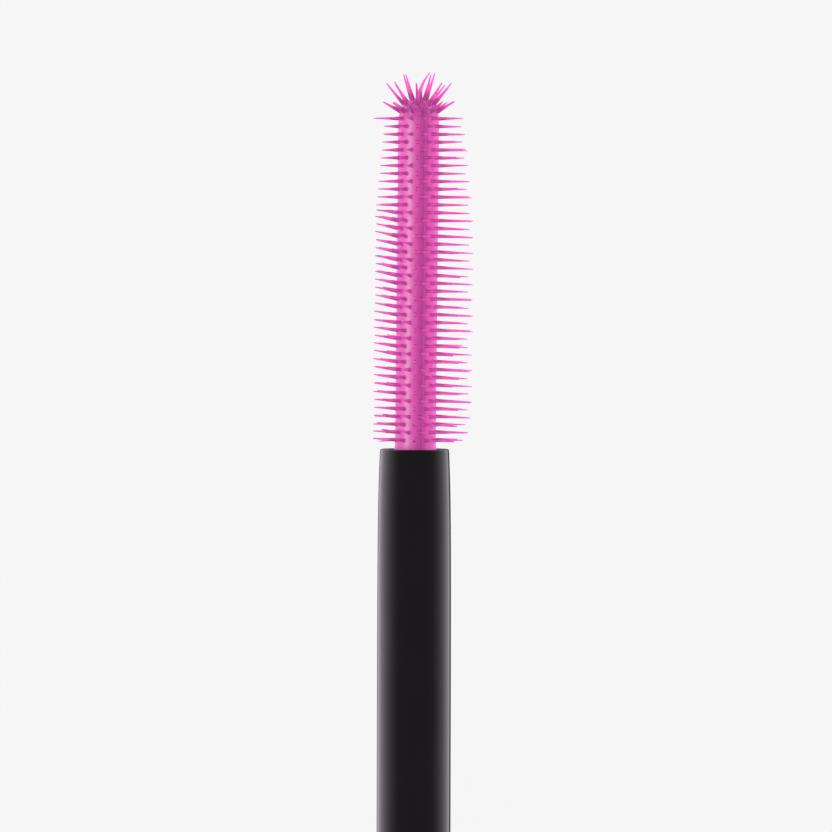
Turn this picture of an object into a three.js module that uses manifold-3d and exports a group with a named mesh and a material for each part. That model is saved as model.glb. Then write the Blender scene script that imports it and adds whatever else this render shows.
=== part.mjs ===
// A mascara: a black wand with a pink moulded brush on a screw cap, and the bottle it closes.
// Millimetres, +Z up. The wand and the bottle lie in line along Y on their round sides, with
// the wand drawn fully out: its cap is at -Y and the bottle's mouth faces the brush tip.
// The origin is under the middle of the whole row, on the surface it lies on.

import * as THREE from "three";
import { mergeVertices } from "three/addons/utils/BufferGeometryUtils.js";
import Module from "manifold-3d";

const wasm = await Module();
wasm.setup();

// ---------------------------------------------------------------- driving dimensions

const TUBE_RADIUS = 8.5;            // cap and bottle outside
const SHELL_WALL = 0.6;             // cap shell and bottle sleeve
const EDGE_ROUND = 0.5;             // outer edges of the shells
const FIT_GAP = 0.15;               // between pieces that touch in the real thing
const SIDES = 32;                   // facets round every turned piece

// Cap. Lengths along the wand start at the cap's mouth, and grow towards the brush.
const CAP_LENGTH = 46;
const CAP_LIP = 1.9;                // width of the ring round the end disc
const END_WALL = 0.8;
const DISC_RECESS = 0.15;
const WEIGHT_LENGTH = 5;
const INSERT_WALL = 0.85;
const INSERT_MOUTH_SETBACK = 0.8;
const SOCKET_LENGTH = 8;            // boss that grips the wand's stem
const SOCKET_WALL = 1.1;
const WEB_THICKNESS = 1.6;          // the insert's ceiling, over the neck

// Screw thread: a round bead on the neck, and one in the cap that runs between its turns.
const THREAD_PITCH = 2.5;
const THREAD_TURNS = 2.5;
const NECK_BEAD = 0.7;
const CAP_BEAD = 0.62;
const BEAD_SIDES = 8;
const BEAD_STEPS_PER_TURN = 20;
const BEAD_FADE = 0.35;             // how far a bead sinks into its wall at its two ends
const THREAD_START = 2.4;           // from the bottle's shoulder to the neck bead's first turn

// Neck, wiper and seal
const NECK_LENGTH = 14;
const NECK_RADIUS = 5.6;
const NECK_BORE = 4.5;
const CAP_BORE = 6.5;
const WIPER_WALL = 0.5;
const WIPER_FLANGE = 0.55;
const WIPER_FLANGE_RADIUS = 5.35;
const WIPER_TUBE_LENGTH = 10.4;
const WIPER_CONE_LENGTH = 2.8;
const WIPER_LIP_RADIUS = 2.9;
const WIPER_LIP = 0.5;
const SEAL_THICKNESS = 0.8;
const SEAL_OUTER = 6.2;
const SEAL_INNER = 3.95;

// Stem: the wand's black rod, slightly slimmer towards the brush
const STEM_REACH = 38.3;            // from the cap's mouth to the end that holds the brush
const STEM_RADIUS = 2.72;
const STEM_END_RADIUS = 2.56;
const STEM_TAPER_LENGTH = 9;
const STEM_EDGE = 0.12;
const SPIGOT_RADIUS = 3;
const STEM_FLANGE_RADIUS = 3.75;
const STEM_FLANGE = 0.8;
const BRUSH_SOCKET_RADIUS = 1.62;
const BRUSH_SOCKET_DEPTH = 1.6;

// Brush: a rigid pin in a soft moulded sleeve of bristles
const PIN_RADIUS = 0.75;
const PIN_HOLD = 9;                 // length of pin inside the stem
const PIN_GAP = 0.1;
const CORE_RADIUS = 1.5;
const CORE_LENGTH = 24.1;           // from the stem's end to the centre of the domed tip
const RING_COUNT = 42;
const RING_PITCH = 0.5757;
const FIRST_RING = 0.68;            // from the stem's end to the lowest ring
const BRISTLES_PER_RING = 12;       // rings are staggered by half a place
const BRISTLE_TURN = -3;            // degrees from straight up to the first bristle
const BRISTLE_BASE = 0.13;
const BRISTLE_ROOT = 0.12;          // how deep a bristle starts inside the core
const ENVELOPE_RADIUS = 3.6;        // of the circle that the bristle tips reach
const ENVELOPE_SHIFT = 0.46;        // that circle's centre is to one side of the core
const ENVELOPE_TIP_RADIUS = 2.9;    // at the ring nearest the dome
const ENVELOPE_TAPER_RINGS = 12;
const DOME_SIDES = 16;
const DOME_BANDS = 4;
const DOME_SPIKE_BASE = 0.19;
const DOME_SPIKE_REACH = 3.6;
const DOME_ROWS = [                 // latitude in degrees, and spikes in the row
  { latitude: 22, count: 12 },
  { latitude: 48, count: 9 },
  { latitude: 72, count: 5 },
];

// Bottle. Lengths along the bottle start at its shoulder, and grow towards its base.
const BOTTLE_LENGTH = 72;
const RING_PLATE = 0.6;
const RING_HEIGHT = 2.4;
const VIAL_RADIUS = 7.7;
const VIAL_WALL = 0.8;
const VIAL_FLOOR = 67.9;
const VIAL_FLOOR_WALL = 1.1;
const VIAL_SHOULDER = 2.6;
const BASE_FLANGE = 1;
const BASE_SPIGOT = 1.55;
const LABEL_RADIUS = 5.2;
const LABEL_THICKNESS = 0.25;
const LABEL_RECESS = 0.5;

// Where things lie at rest
const TIP_CLEARANCE = 8;            // from the brush tip to the bottle's mouth
const MOUTH_CLEARANCE = 0.3;        // between cap and bottle once they are closed
const BRUSH_LENGTH = 27.7;
const SHOULDER_AT_REST = STEM_REACH + BRUSH_LENGTH + TIP_CLEARANCE + WIPER_FLANGE + NECK_LENGTH;
const ROW_MIDDLE = (SHOULDER_AT_REST + BOTTLE_LENGTH - CAP_LENGTH) / 2;

// Derived radii and stations
const SHELL_BORE = TUBE_RADIUS - SHELL_WALL;
const INNER_RADIUS = SHELL_BORE - FIT_GAP;
const WEB_FACE = -(NECK_LENGTH + WIPER_FLANGE + SEAL_THICKNESS + 2 * FIT_GAP) + MOUTH_CLEARANCE;
const DISC_INNER_FACE = -CAP_LENGTH + END_WALL + FIT_GAP + END_WALL;
const WEIGHT_FACE = DISC_INNER_FACE + FIT_GAP + WEIGHT_LENGTH;

// ---------------------------------------------------------------- materials

const GLOSS_BLACK = { color: 0x0b0a0b, roughness: 0.12, metalness: 0 };
const SATIN_BLACK = { color: 0x171618, roughness: 0.45, metalness: 0 };
const HOT_PINK = { color: 0xe0409f, roughness: 0.4, metalness: 0 };
const PINK_METAL = { color: 0xd8519f, roughness: 0.25, metalness: 0.9 };
const PALE_PLASTIC = { color: 0xd9d3d0, roughness: 0.4, metalness: 0 };
const SEAL_GREY = { color: 0xb9b6b2, roughness: 0.7, metalness: 0 };
const STEEL = { color: 0x9a9c9f, roughness: 0.35, metalness: 1 };
const LABEL_WHITE = { color: 0xeeeae6, roughness: 0.6, metalness: 0 };

// ---------------------------------------------------------------- shape helpers

const point = (radius, along) => new THREE.Vector2(radius, along);

/** Points of a quarter round from one station to the next, about a centre in the profile. */
function quarterRound(centreRadius, centreAlong, round, fromDegrees, toDegrees, steps = 3) {
  const points = [];
  for (let step = 0; step <= steps; step += 1) {
    const turn = THREE.MathUtils.degToRad(fromDegrees + ((toDegrees - fromDegrees) * step) / steps);
    const radius = centreRadius + round * Math.cos(turn);
    points.push(point(radius, centreAlong + round * Math.sin(turn)));
  }
  return points;
}

/** A piece turned about Y. Its flats touch the true radius, and one flat faces down. */
function turned(profile, sides = SIDES) {
  const acrossFlats = 1 / Math.cos(Math.PI / sides);
  const outline = profile.map((p) => point(p.x * acrossFlats, p.y));
  return new THREE.LatheGeometry(outline, sides, Math.PI / sides);
}

/** A closed ring profile: the same turned piece, with its outline joined end to start. */
function turnedRing(profile, sides = SIDES) {
  return turned([...profile, profile[0]], sides);
}

/** The manifold solid of a closed geometry. */
function toSolid(geometry) {
  const bare = geometry.clone();
  bare.deleteAttribute("normal");
  bare.deleteAttribute("uv");
  const merged = mergeVertices(bare);
  return new wasm.Manifold(new wasm.Mesh({
    numProp: 3,
    vertProperties: new Float32Array(merged.attributes.position.array),
    triVerts: new Uint32Array(merged.index.array),
  }));
}

/** The three.js geometry of a manifold solid. */
function toGeometry(solid) {
  const mesh = solid.getMesh();
  const geometry = new THREE.BufferGeometry();
  geometry.setAttribute("position", new THREE.BufferAttribute(mesh.vertProperties, 3));
  geometry.setIndex(new THREE.BufferAttribute(mesh.triVerts, 1));
  geometry.computeVertexNormals();
  return geometry;
}

/** The right-hand helix that a thread bead follows, sinking into its wall at both ends. */
class ThreadHelix extends THREE.Curve {
  constructor(radius, start, sinkInto) {
    super();
    this.radius = radius;
    this.start = start;
    this.sinkInto = sinkInto;
  }

  getPoint(t) {
    const angle = t * THREAD_TURNS * 2 * Math.PI;
    const fadeLength = 0.5 / THREAD_TURNS;
    const fade = Math.max(0, 1 - Math.min(t, 1 - t) / fadeLength);
    const radius = this.radius + this.sinkInto * fade;
    const along = this.start + t * THREAD_TURNS * THREAD_PITCH;
    return new THREE.Vector3(radius * Math.sin(angle), along, radius * Math.cos(angle));
  }
}

/** A round bead wound as a thread. */
function threadBead(wallRadius, start, beadRadius, sinkInto) {
  const section = new THREE.Shape();
  section.absarc(0, 0, beadRadius, 0, 2 * Math.PI);
  return new THREE.ExtrudeGeometry(section, {
    steps: THREAD_TURNS * BEAD_STEPS_PER_TURN,
    curveSegments: BEAD_SIDES,
    bevelEnabled: false,
    extrudePath: new ThreadHelix(wallRadius, start, sinkInto),
  });
}

// ---------------------------------------------------------------- cap pieces

/** The outer skin of the cap: a tube with an inward lip round its far end. */
function capShell() {
  const end = -CAP_LENGTH;
  const lipRadius = TUBE_RADIUS - CAP_LIP;
  return turnedRing([
    point(lipRadius, end),
    ...quarterRound(TUBE_RADIUS - EDGE_ROUND, end + EDGE_ROUND, EDGE_ROUND, -90, 0),
    ...quarterRound(TUBE_RADIUS - SHELL_WALL / 2, -SHELL_WALL / 2, SHELL_WALL / 2, 0, 90, 1),
    point(SHELL_BORE, -SHELL_WALL / 2),
    point(SHELL_BORE, end + END_WALL),
    point(lipRadius, end + END_WALL),
  ]);
}

/** The stepped disc that fills the cap's end from inside. */
function capEndDisc() {
  const faceRadius = TUBE_RADIUS - CAP_LIP - FIT_GAP;
  const step = -CAP_LENGTH + END_WALL + FIT_GAP;
  return turned([
    point(0, -CAP_LENGTH + DISC_RECESS),
    point(faceRadius, -CAP_LENGTH + DISC_RECESS),
    point(faceRadius, step),
    point(INNER_RADIUS, step),
    point(INNER_RADIUS, DISC_INNER_FACE),
    point(0, DISC_INNER_FACE),
  ]);
}

/** The steel slug that gives the cap its heft. */
function capWeight() {
  const bevel = 0.6;
  const start = DISC_INNER_FACE + FIT_GAP;
  return turned([
    point(0, start),
    point(INNER_RADIUS - bevel, start),
    point(INNER_RADIUS, start + bevel),
    point(INNER_RADIUS, WEIGHT_FACE - bevel),
    point(INNER_RADIUS - bevel, WEIGHT_FACE),
    point(0, WEIGHT_FACE),
  ]);
}

/** The inner cap: threaded skirt over the neck, a web, and a socket for the stem behind it. */
function capInsert() {
  const back = WEIGHT_FACE + FIT_GAP;
  const webBack = WEB_FACE - WEB_THICKNESS;
  const socketRadius = SPIGOT_RADIUS + FIT_GAP;
  const backBore = INNER_RADIUS - INSERT_WALL;
  const body = turnedRing([
    point(backBore, back),
    point(INNER_RADIUS, back),
    point(INNER_RADIUS, -INSERT_MOUTH_SETBACK),
    point(CAP_BORE + 0.3, -INSERT_MOUTH_SETBACK),
    point(CAP_BORE, -INSERT_MOUTH_SETBACK - 0.3),
    point(CAP_BORE, WEB_FACE),
    point(socketRadius, WEB_FACE),
    point(socketRadius, WEB_FACE - SOCKET_LENGTH),
    point(socketRadius + SOCKET_WALL, WEB_FACE - SOCKET_LENGTH),
    point(socketRadius + SOCKET_WALL, webBack),
    point(backBore, webBack),
  ]);
  const start = MOUTH_CLEARANCE - THREAD_START - THREAD_TURNS * THREAD_PITCH - THREAD_PITCH / 2;
  const bead = threadBead(CAP_BORE, start, CAP_BEAD, BEAD_FADE);
  return toGeometry(toSolid(body).add(toSolid(bead)));
}

// ---------------------------------------------------------------- wand pieces

/** The rod: a spigot in the cap's socket, a flange, and the tapered stem with its brush hole. */
function stem() {
  const flangeBack = WEB_FACE + FIT_GAP;
  const flangeFront = flangeBack + STEM_FLANGE;
  const spigotEnd = WEB_FACE - SOCKET_LENGTH + 0.4;
  const taperStart = STEM_REACH - STEM_TAPER_LENGTH;
  const pinHole = PIN_RADIUS + PIN_GAP;
  return turned([
    point(0, spigotEnd),
    point(SPIGOT_RADIUS - 0.3, spigotEnd),
    point(SPIGOT_RADIUS, spigotEnd + 0.6),
    point(SPIGOT_RADIUS, flangeBack),
    point(STEM_FLANGE_RADIUS, flangeBack),
    point(STEM_FLANGE_RADIUS, flangeFront),
    point(STEM_RADIUS, flangeFront + 0.3),
    point(STEM_RADIUS, taperStart),
    point(STEM_RADIUS - 0.05, taperStart + STEM_TAPER_LENGTH * 0.6),
    point(STEM_END_RADIUS, STEM_REACH - STEM_EDGE),
    point(STEM_END_RADIUS - STEM_EDGE, STEM_REACH),
    point(BRUSH_SOCKET_RADIUS, STEM_REACH),
    point(BRUSH_SOCKET_RADIUS, STEM_REACH - BRUSH_SOCKET_DEPTH),
    point(pinHole, STEM_REACH - BRUSH_SOCKET_DEPTH),
    point(pinHole, STEM_REACH - PIN_HOLD - FIT_GAP),
    point(0, STEM_REACH - PIN_HOLD - FIT_GAP),
  ]);
}

/** The rigid pin that carries the soft sleeve and is pressed into the stem. */
function brushPin() {
  const tip = STEM_REACH + CORE_LENGTH;
  const root = STEM_REACH - PIN_HOLD;
  return turned([
    point(0, root),
    point(PIN_RADIUS * 0.7, root),
    point(PIN_RADIUS, root + 0.4),
    point(PIN_RADIUS, tip - 0.4),
    point(PIN_RADIUS * 0.5, tip),
    point(0, tip),
  ], DOME_SIDES);
}

/** How far from the core's axis a bristle reaches, for its ring and its angle from +Z to +X. */
function bristleReach(ring, angle) {
  const fromTip = Math.min(1, (RING_COUNT - 1 - ring) / ENVELOPE_TAPER_RINGS);
  const radius = THREE.MathUtils.lerp(ENVELOPE_TIP_RADIUS, ENVELOPE_RADIUS, fromTip);
  const shift = ENVELOPE_SHIFT * Math.sin(angle);
  const across = ENVELOPE_SHIFT * Math.cos(angle);
  return shift + Math.sqrt(radius * radius - across * across);
}

/** A three-sided spike from a root on the brush's axis line, along a direction. */
function spike(base, root, direction, from, to) {
  const cone = new THREE.ConeGeometry(base, to - from, 3);
  cone.translate(0, (from + to) / 2, 0);
  const towards = new THREE.Quaternion().setFromUnitVectors(new THREE.Vector3(0, 1, 0), direction);
  cone.applyQuaternion(towards);
  cone.translate(root.x, root.y, root.z);
  return toSolid(cone);
}

/** The soft sleeve: core tube, domed tip, rings of bristles and the spikes round the tip. */
function brush() {
  const bottom = STEM_REACH - BRUSH_SOCKET_DEPTH + FIT_GAP;
  const domeCentre = STEM_REACH + CORE_LENGTH;
  const bore = PIN_RADIUS + PIN_GAP;
  const boreEnd = domeCentre + FIT_GAP;
  const domeArc = quarterRound(0, domeCentre, CORE_RADIUS, 0, 90, DOME_BANDS);
  const core = turned([
    point(0, boreEnd),
    point(bore, boreEnd),
    point(bore, bottom),
    point(CORE_RADIUS, bottom),
    ...domeArc,
  ]);
  let sleeve = toSolid(core);
  for (let ring = 0; ring < RING_COUNT; ring += 1) {
    const along = STEM_REACH + FIRST_RING + ring * RING_PITCH;
    const root = new THREE.Vector3(0, along, 0);
    for (let place = 0; place < BRISTLES_PER_RING; place += 1) {
      const places = (place + (ring % 2) / 2) / BRISTLES_PER_RING;
      const angle = THREE.MathUtils.degToRad(BRISTLE_TURN + places * 360);
      const direction = new THREE.Vector3(Math.sin(angle), 0, Math.cos(angle));
      const from = CORE_RADIUS - BRISTLE_ROOT;
      sleeve = sleeve.add(spike(BRISTLE_BASE, root, direction, from, bristleReach(ring, angle)));
    }
  }
  const centre = new THREE.Vector3(0, domeCentre, 0);
  for (const row of DOME_ROWS) {
    const latitude = THREE.MathUtils.degToRad(row.latitude);
    for (let place = 0; place < row.count; place += 1) {
      const angle = ((place + 0.5) * 2 * Math.PI) / row.count;
      const out = Math.cos(latitude);
      const direction = new THREE.Vector3(
        out * Math.sin(angle), Math.sin(latitude), out * Math.cos(angle));
      const from = CORE_RADIUS - 2 * BRISTLE_ROOT;
      sleeve = sleeve.add(spike(DOME_SPIKE_BASE, centre, direction, from, DOME_SPIKE_REACH));
    }
  }
  return toGeometry(sleeve);
}

/** The captive washer in the cap's roof, which the neck's rim presses when it is closed. */
function sealWasher() {
  const back = WEB_FACE + FIT_GAP;
  const front = back + SEAL_THICKNESS;
  return turnedRing([
    point(SEAL_INNER, back),
    point(SEAL_OUTER, back),
    point(SEAL_OUTER, front),
    point(SEAL_INNER, front),
  ]);
}

// ---------------------------------------------------------------- bottle pieces

/** The outer skin of the bottle. */
function bottleSleeve() {
  const start = RING_HEIGHT + FIT_GAP;
  const end = BOTTLE_LENGTH - BASE_FLANGE - FIT_GAP;
  const bevel = 0.12;
  return turnedRing([
    point(SHELL_BORE, start),
    point(TUBE_RADIUS - bevel, start),
    point(TUBE_RADIUS, start + bevel),
    point(TUBE_RADIUS, end - bevel),
    point(TUBE_RADIUS - bevel, end),
    point(SHELL_BORE, end),
  ]);
}

/** The bright ring on the bottle's shoulder, which meets the cap's mouth. */
function shoulderRing() {
  const bevel = 0.25;
  return turnedRing([
    point(NECK_RADIUS + FIT_GAP, 0),
    point(TUBE_RADIUS - bevel, 0),
    point(TUBE_RADIUS, bevel),
    point(TUBE_RADIUS, RING_HEIGHT),
    point(SHELL_BORE, RING_HEIGHT),
    point(SHELL_BORE, RING_PLATE),
    point(NECK_RADIUS + FIT_GAP, RING_PLATE),
  ]);
}

/** The vial that holds the mascara, with its threaded neck. */
function vial() {
  const shoulder = RING_PLATE + FIT_GAP;
  const inside = VIAL_RADIUS - VIAL_WALL;
  const corner = 1.6;
  const body = turned([
    point(0, VIAL_FLOOR + VIAL_FLOOR_WALL),
    point(VIAL_RADIUS - 0.8, VIAL_FLOOR + VIAL_FLOOR_WALL),
    point(VIAL_RADIUS, VIAL_FLOOR + VIAL_FLOOR_WALL - 0.8),
    point(VIAL_RADIUS, shoulder),
    point(NECK_RADIUS, shoulder),
    point(NECK_RADIUS, -NECK_LENGTH + 0.2),
    point(NECK_RADIUS - 0.2, -NECK_LENGTH),
    point(NECK_BORE, -NECK_LENGTH),
    point(NECK_BORE, shoulder),
    point(inside, shoulder + VIAL_SHOULDER),
    ...quarterRound(inside - corner, VIAL_FLOOR - corner, corner, 0, 90, 2),
    point(0, VIAL_FLOOR),
  ].reverse());
  const start = -THREAD_START - THREAD_TURNS * THREAD_PITCH;
  const bead = threadBead(NECK_RADIUS, start, NECK_BEAD, -BEAD_FADE);
  return toGeometry(toSolid(body).add(toSolid(bead)));
}

/** The soft wiper in the neck: flange, tube, and a cone down to the lip round the stem. */
function wiper() {
  const top = -NECK_LENGTH - WIPER_FLANGE;
  const tubeOuter = NECK_BORE - 0.1;
  const tubeInner = tubeOuter - WIPER_WALL;
  const coneStart = -NECK_LENGTH + WIPER_TUBE_LENGTH;
  const lip = coneStart + WIPER_CONE_LENGTH;
  return turnedRing([
    point(tubeInner + 0.3, top),
    point(WIPER_FLANGE_RADIUS, top),
    point(WIPER_FLANGE_RADIUS, -NECK_LENGTH - 0.05),
    point(tubeOuter, -NECK_LENGTH - 0.05),
    point(tubeOuter, coneStart),
    point(WIPER_LIP_RADIUS + 0.35, lip),
    point(WIPER_LIP_RADIUS, lip),
    point(WIPER_LIP_RADIUS, lip - WIPER_LIP),
    point(tubeInner, coneStart - 0.4),
    point(tubeInner, top + 0.6),
  ]);
}

/** The plug that closes the sleeve under the vial, with a shallow seat for the label. */
function basePlug() {
  const end = BOTTLE_LENGTH;
  const step = end - BASE_FLANGE;
  const seat = LABEL_RADIUS + FIT_GAP;
  return turned([
    point(0, step - BASE_SPIGOT),
    point(INNER_RADIUS, step - BASE_SPIGOT),
    point(INNER_RADIUS, step),
    point(TUBE_RADIUS, step),
    ...quarterRound(TUBE_RADIUS - EDGE_ROUND, end - EDGE_ROUND, EDGE_ROUND, 0, 90),
    point(seat, end),
    point(seat, end - LABEL_RECESS),
    point(0, end - LABEL_RECESS),
  ]);
}

/** The blank shade label in the base. */
function baseLabel() {
  const back = BOTTLE_LENGTH - LABEL_RECESS + 0.05;
  return turned([
    point(0, back),
    point(LABEL_RADIUS, back),
    point(LABEL_RADIUS, back + LABEL_THICKNESS),
    point(0, back + LABEL_THICKNESS),
  ]);
}

// ---------------------------------------------------------------- the assembly

/** A named mesh with its finish. */
function piece(name, geometry, finish) {
  const mesh = new THREE.Mesh(geometry, new THREE.MeshStandardMaterial(finish));
  mesh.name = name;
  return mesh;
}

const applicator = new THREE.Group();
applicator.position.set(0, -ROW_MIDDLE, TUBE_RADIUS);
applicator.add(
  piece("cap_shell", capShell(), GLOSS_BLACK),
  piece("cap_end_disc", capEndDisc(), PINK_METAL),
  piece("cap_weight", capWeight(), STEEL),
  piece("cap_insert", capInsert(), SATIN_BLACK),
  piece("seal_washer", sealWasher(), SEAL_GREY),
  piece("stem", stem(), GLOSS_BLACK),
  piece("brush_pin", brushPin(), PALE_PLASTIC),
  piece("brush", brush(), HOT_PINK),
);

const bottle = new THREE.Group();
bottle.position.set(0, SHOULDER_AT_REST - ROW_MIDDLE, TUBE_RADIUS);
bottle.add(
  piece("bottle_sleeve", bottleSleeve(), GLOSS_BLACK),
  piece("shoulder_ring", shoulderRing(), PINK_METAL),
  piece("vial", vial(), SATIN_BLACK),
  piece("wiper", wiper(), PALE_PLASTIC),
  piece("base_plug", basePlug(), GLOSS_BLACK),
  piece("base_label", baseLabel(), LABEL_WHITE),
);

const mascara = new THREE.Group();
mascara.add(applicator, bottle);

export default mascara;
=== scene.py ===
"""Looks of a mascara lying open in line: the brush wand on its cap, and the bottle beyond it.

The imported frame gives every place. The round pieces are turned again here with fine edges,
the brush is grown as one mesh of moulded bristles, and each finish is procedural.
Lengths in this script are millimetres, and become metres when a mesh is made.
"""

from __future__ import annotations

import logging
import math
import random
from dataclasses import dataclass, field
from enum import Enum
from typing import Callable, ClassVar, Sequence

import bmesh
import bpy
from mathutils import Matrix, Vector

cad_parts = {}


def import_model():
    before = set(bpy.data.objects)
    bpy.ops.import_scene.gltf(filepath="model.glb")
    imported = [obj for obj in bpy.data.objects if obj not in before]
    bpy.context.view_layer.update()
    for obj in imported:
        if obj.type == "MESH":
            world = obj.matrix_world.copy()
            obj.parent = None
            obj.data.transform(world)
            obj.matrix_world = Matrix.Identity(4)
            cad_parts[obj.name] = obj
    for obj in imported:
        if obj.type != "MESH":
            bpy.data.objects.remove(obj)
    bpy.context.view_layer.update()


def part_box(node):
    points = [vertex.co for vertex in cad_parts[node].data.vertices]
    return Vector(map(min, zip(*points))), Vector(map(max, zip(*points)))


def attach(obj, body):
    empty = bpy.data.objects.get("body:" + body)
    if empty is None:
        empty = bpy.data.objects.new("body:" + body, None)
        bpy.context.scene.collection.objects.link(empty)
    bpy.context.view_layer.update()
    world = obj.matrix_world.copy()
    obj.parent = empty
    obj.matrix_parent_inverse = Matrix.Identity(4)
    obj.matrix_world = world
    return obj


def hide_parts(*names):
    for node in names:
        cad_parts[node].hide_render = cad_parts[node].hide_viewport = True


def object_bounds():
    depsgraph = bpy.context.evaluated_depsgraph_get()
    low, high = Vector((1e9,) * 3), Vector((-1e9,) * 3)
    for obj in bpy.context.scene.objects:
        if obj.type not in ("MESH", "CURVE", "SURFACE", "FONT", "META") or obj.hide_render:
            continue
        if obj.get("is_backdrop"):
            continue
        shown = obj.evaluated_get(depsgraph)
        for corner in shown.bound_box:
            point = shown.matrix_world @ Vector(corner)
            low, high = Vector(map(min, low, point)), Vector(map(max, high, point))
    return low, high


LOG = logging.getLogger("mascara")
MM = 0.001
UP_THE_TUBE = Vector((0, 1, 0))
AXIS_HEIGHT = 8.5
ROUND_STEPS = 128
THREAD_PITCH = 2.5
THREAD_TURNS = 2.5
THREAD_LENGTH = THREAD_PITCH * THREAD_TURNS

Point = tuple[float, float]
Colour = tuple[float, float, float]
Socket = bpy.types.NodeSocket
Piece = bpy.types.Object
Mesh = bmesh.types.BMesh
Vertex = bmesh.types.BMVert


class Body(Enum):
    """The rigid bodies that pieces ride on."""

    BOTTLE = "bottle"
    SEAL = "seal"
    APPLICATOR = "applicator"


class Slot(Enum):
    """Material slots of the record."""

    GLOSS_BLACK = "gloss_black"
    SATIN_BLACK = "satin_black"
    PINK_ELASTOMER = "pink_elastomer"
    PINK_METAL = "pink_metal"
    PALE_PLASTIC = "pale_plastic"
    SEAL_FOAM = "seal_foam"
    STEEL = "steel"
    LABEL = "label"


# ---- shader expressions


def maths(operation: str, swapped: bool = False, clamp: bool = False) -> Callable[..., Term]:
    """Make a method that adds one Math node.

    Args:
        operation: The Math node's operation.
        swapped: Whether the other value comes first.
        clamp: Whether the result is held between 0 and 1.

    Returns:
        A method of a term, and of the other value where the operation takes two.
    """

    def method(term: Term, other: Term | float = 0.0) -> Term:
        """Add the node.

        Args:
            term: The term that the method belongs to.
            other: The second value, where the operation takes one.

        Returns:
            The node's result.
        """
        first, second = (other, term) if swapped else (term, other)
        settings = {"operation": operation, "use_clamp": clamp}
        node = term.graph.node("ShaderNodeMath", settings, {0: first, 1: second})
        return Term(term.graph, node.outputs[0])

    return method


class Term:
    """A float socket that takes part in Python expressions."""

    def __init__(self, graph: Graph, socket: Socket) -> None:
        """Keep the socket and the graph that new nodes go in."""
        self.graph = graph
        self.socket = socket

    __add__ = __radd__ = maths("ADD")
    __sub__ = maths("SUBTRACT")
    __rsub__ = maths("SUBTRACT", swapped=True)
    __mul__ = __rmul__ = maths("MULTIPLY")
    __truediv__ = maths("DIVIDE")
    __pow__ = maths("POWER")
    __abs__ = maths("ABSOLUTE")
    at_least = maths("MAXIMUM")
    clamped = maths("ADD", clamp=True)
    sine = maths("SINE")
    angle_to = maths("ARCTAN2")

    def fade(self, start: float, end: float) -> Term:
        """Smooth step.

        Args:
            start: Value at which the result is 0.
            end: Value at which the result is 1.

        Returns:
            A value from 0 to 1.
        """
        settings = {"interpolation_type": "SMOOTHSTEP"}
        node = self.graph.node("ShaderNodeMapRange", settings, {0: self, 1: start, 2: end})
        return Term(self.graph, node.outputs[0])


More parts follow.
